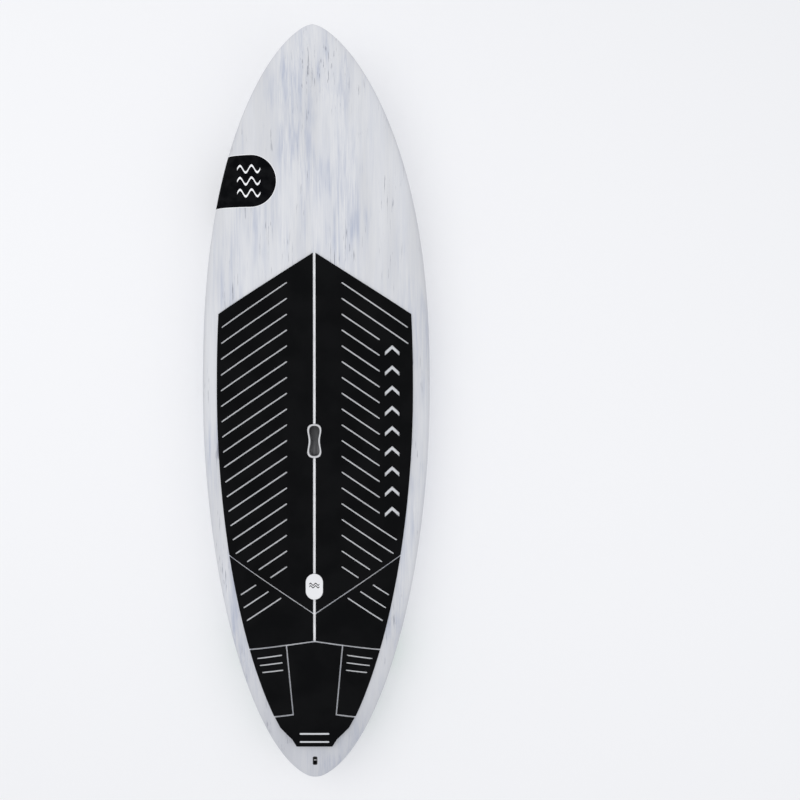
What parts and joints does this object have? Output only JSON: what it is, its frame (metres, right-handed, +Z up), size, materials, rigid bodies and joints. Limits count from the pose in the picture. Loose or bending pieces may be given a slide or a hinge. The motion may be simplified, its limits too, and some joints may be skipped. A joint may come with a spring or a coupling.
{
  "type": "stand-up paddle board",
  "caption": "Wide wave board for paddling standing up: pointed nose, round tail, grooved deck pad, recessed carry handle, leash plug, centre fin slot and removable side fins.",
  "frame": {"origin": "centre of the bounding box in plan, at the height of the lowest fin tips", "axes": "+X across the board to starboard, +Y along the board to the nose, +Z up with the deck upwards"},
  "size_m": [0.8276, 2.667, 0.2724],
  "materials": {
    "foam_core": "matte",
    "stringer_wood": "satin",
    "deck_skin": "satin",
    "bottom_skin": "satin",
    "dense_foam": "matte",
    "pad_black": "matte",
    "pad_pale": "matte",
    "badge_white": "matte",
    "handle_grey": "satin",
    "vent_plastic": "satin",
    "membrane": "matte",
    "box_black": "satin",
    "box_white": "satin",
    "screw_black": "satin",
    "steel": "satin",
    "fin_green": "gloss"
  },
  "bodies": {
    "board": {"core_port": "foam_core", "core_starboard": "foam_core", "stringer": "stringer_wood", "deck_skin": "deck_skin", "bottom_skin": "bottom_skin", "handle_block": "dense_foam", "centre_box_block": "dense_foam", "leash_block": "dense_foam", "fin_block_front_port": "dense_foam", "fin_block_front_starboard": "dense_foam", "fin_block_rear_port": "dense_foam", "fin_block_rear_starboard": "dense_foam", "pad_main_port": "pad_black", "pad_main_starboard": "pad_black", "pad_wedge_port": "pad_black", "pad_wedge_starboard": "pad_black", "pad_tail_port": "pad_black", "pad_tail_starboard": "pad_black", "pad_kick": "pad_black", "base_main_port": "pad_pale", "base_main_starboard": "pad_pale", "base_wedge_port": "pad_pale", "base_wedge_starboard": "pad_pale", "base_tail_port": "pad_pale", "base_tail_starboard": "pad_pale", "base_kick": "pad_pale", "badge_inlay": "badge_white", "handle_cup": "handle_grey", "vent_body": "vent_plastic", "vent_membrane": "membrane", "centre_fin_box": "box_black", "leash_cup": "box_black", "leash_pin": "steel", "fin_box_front_port": "box_white", "fin_box_front_starboard": "box_white", "fin_box_rear_port": "box_white", "fin_box_rear_starboard": "box_white", "screws_front_port": "screw_black", "screws_front_starboard": "screw_black", "screws_rear_port": "screw_black", "screws_rear_starboard": "screw_black"},
    "fin_front_port": {"fin_front_port": "fin_green"},
    "fin_front_starboard": {"fin_front_starboard": "fin_green"},
    "fin_rear_port": {"fin_rear_port": "fin_green"},
    "fin_rear_starboard": {"fin_rear_starboard": "fin_green"},
    "vent_cap": {"vent_cap": "vent_plastic"}
  },
  "joints": [
    {"name": "fin_front_port_pull", "type": "slide", "parent": "board", "child": "fin_front_port", "axis": [-0.1453, -0.0715, -0.9868], "range_m": [0, 0.02]},
    {"name": "fin_front_starboard_pull", "type": "slide", "parent": "board", "child": "fin_front_starboard", "axis": [0.1453, -0.0715, -0.9868], "range_m": [0, 0.02]},
    {"name": "fin_rear_port_pull", "type": "slide", "parent": "board", "child": "fin_rear_port", "axis": [-0.1059, -0.0907, -0.9902], "range_m": [0, 0.02]},
    {"name": "fin_rear_starboard_pull", "type": "slide", "parent": "board", "child": "fin_rear_starboard", "axis": [0.1059, -0.0907, -0.9902], "range_m": [0, 0.02]},
    {"name": "vent_cap_unscrew", "type": "slide", "parent": "board", "child": "vent_cap", "axis": [0, -1, 0], "range_m": [0, 0.007]}
  ]
}
